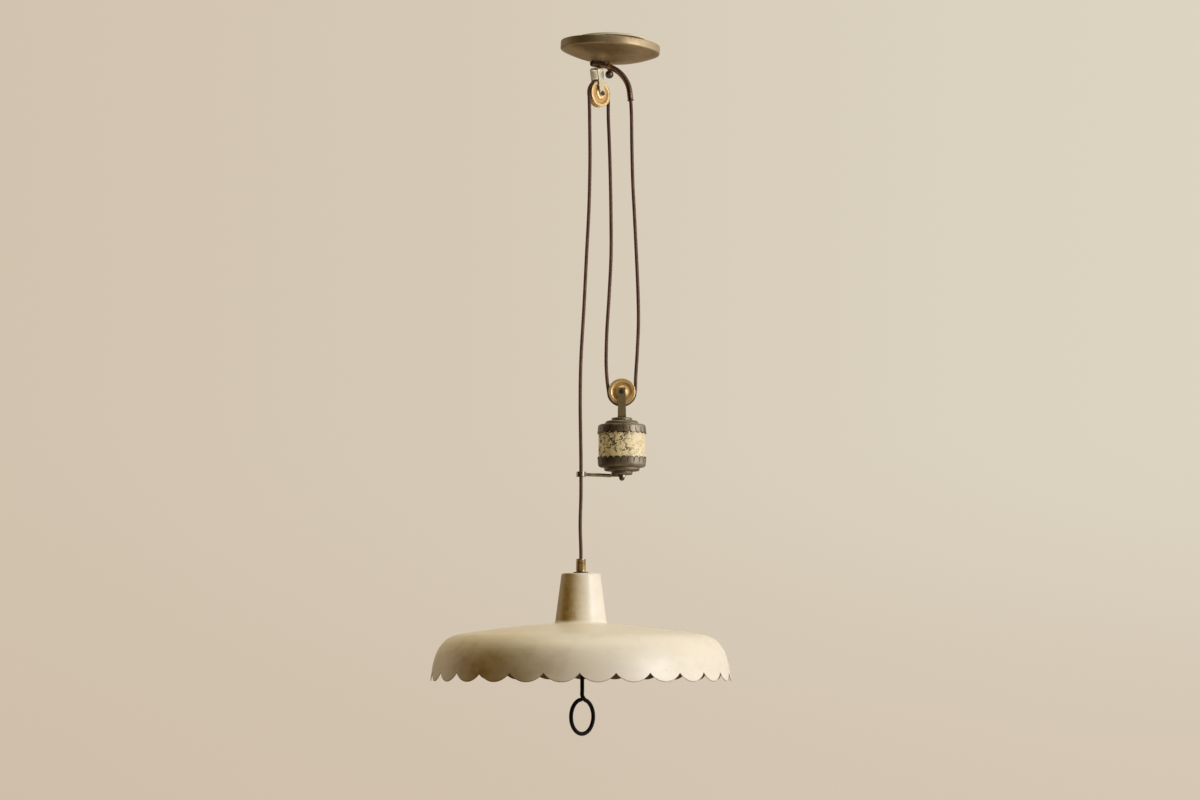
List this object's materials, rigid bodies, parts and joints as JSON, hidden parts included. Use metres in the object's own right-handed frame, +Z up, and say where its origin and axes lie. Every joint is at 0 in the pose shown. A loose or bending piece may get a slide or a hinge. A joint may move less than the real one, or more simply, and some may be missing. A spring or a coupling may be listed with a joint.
{
  "type": "rise and fall pendant lamp",
  "caption": "Ceiling pendant whose scalloped metal shade rises and falls on a cord over pulleys, balanced by a cylindrical counterweight with a guide arm.",
  "frame": {"origin": "centre of the ceiling plate's upper face, which bears on the ceiling", "axes": "+Z up, square to the ceiling; +X from the lamp's side to the counterweight's side; -Y faces the front"},
  "size_m": [0.4436, 0.4432, 1.0447],
  "materials": {
    "canopy_brass": "aged brass, satin",
    "bronze": "dark bronzed brass, worn bright on edges",
    "arm_brass": "dark bronzed tube, satin",
    "strap_brass": "aged greenish brass strap",
    "wheel_brass": "golden turned brass",
    "bright_brass": "turned brass",
    "steel": "zinc-plated steel",
    "iron": "raw cast iron",
    "cream_sleeve": "cream enamel, crazed and chipped",
    "cream_shade": "cream paint, satin and aged",
    "black_paint": "black satin paint",
    "black_plastic": "moulded black plastic",
    "rubber": "black rubber",
    "porcelain": "white glaze",
    "frosted_glass": "frosted",
    "cloth": "dark brown braided cloth over the cores"
  },
  "bodies": {
    "ceiling_fixture": {"ceiling_plate": "steel", "ceiling_stud": "steel", "stud_nut": "steel", "coupling_nut": "steel", "canopy": "canopy_brass", "canopy_nut": "bright_brass", "canopy_grommet": "rubber", "cord_anchor": "black_plastic", "anchor_clamp": "black_plastic", "anchor_screws": "steel", "terminal_block": "porcelain", "arm_saddle": "bright_brass", "ball_nut": "bronze", "arm_tube": "arm_brass", "arm_end_cap": "black_plastic", "arm_mouth_bush": "black_plastic", "hanger_pin": "steel", "top_yoke": "strap_brass", "top_axle": "bronze", "cord_supply_end": "cloth", "cord_fixed_run": "cloth", "cord_middle_run": "cloth", "cord_over_top": "cloth", "cord_guide_run": "cloth"},
    "top_pulley": {"top_wheel": "wheel_brass", "top_wheel_bush": "steel"},
    "counterweight": {"weight_yoke": "bronze", "weight_axle": "bronze", "yoke_nut": "steel", "yoke_disc": "bronze", "weight_top_cap": "bronze", "weight_sleeve": "cream_sleeve", "weight_slug": "iron", "weight_bottom_cap": "bronze", "tie_rod": "steel", "guide_arm": "bronze", "guide_bush": "bright_brass", "tie_ball_nut": "bronze", "cord_under_weight": "cloth", "cord_lamp_run": "cloth"},
    "weight_pulley": {"weight_wheel": "wheel_brass", "weight_wheel_bush": "steel"},
    "lamp": {"cord_grip": "bright_brass", "grip_screw": "steel", "grip_washer": "black_paint", "lamp_tube": "bright_brass", "neck_cover": "cream_shade", "shade": "cream_shade", "shade_washer": "steel", "shade_nut": "bright_brass", "cluster_hub": "bright_brass", "lampholder_left": "black_plastic", "lampholder_right": "black_plastic", "bulb_base_left": "bright_brass", "bulb_base_right": "bright_brass", "bulb_left": "frosted_glass", "bulb_right": "frosted_glass", "pull_nut": "steel", "pull_ring": "black_paint", "cord_lamp_end": "cloth"}
  },
  "joints": [
    {"name": "lamp_slide", "type": "slide", "parent": "counterweight", "child": "lamp", "axis": [0, 0, 1], "range_m": [-1.191, 0.117], "deforming": ["cord_lamp_run"]},
    {"name": "counterweight_slide", "type": "slide", "parent": "ceiling_fixture", "child": "counterweight", "axis": [0, 0, 1], "range_m": [-0.039, 0.397], "deforming": ["cord_fixed_run", "cord_middle_run", "cord_guide_run"]},
    {"name": "top_pulley_spin", "type": "hinge", "parent": "ceiling_fixture", "child": "top_pulley", "pos_m": [-0.01617, 0.00343, -0.08085], "axis": [0.7071, -0.7071, 0], "continuous": true},
    {"name": "weight_pulley_spin", "type": "hinge", "parent": "counterweight", "child": "weight_pulley", "pos_m": [0.0185, 0.006, -0.5335], "axis": [0, -1, 0], "continuous": true}
  ],
  "couplings": [
    {"joint": "counterweight_slide", "follows": "lamp_slide", "ratio": -0.33333},
    {"joint": "top_pulley_spin", "follows": "lamp_slide", "rad_per_m": -33.67},
    {"joint": "weight_pulley_spin", "follows": "lamp_slide", "rad_per_m": 16.835}
  ]
}
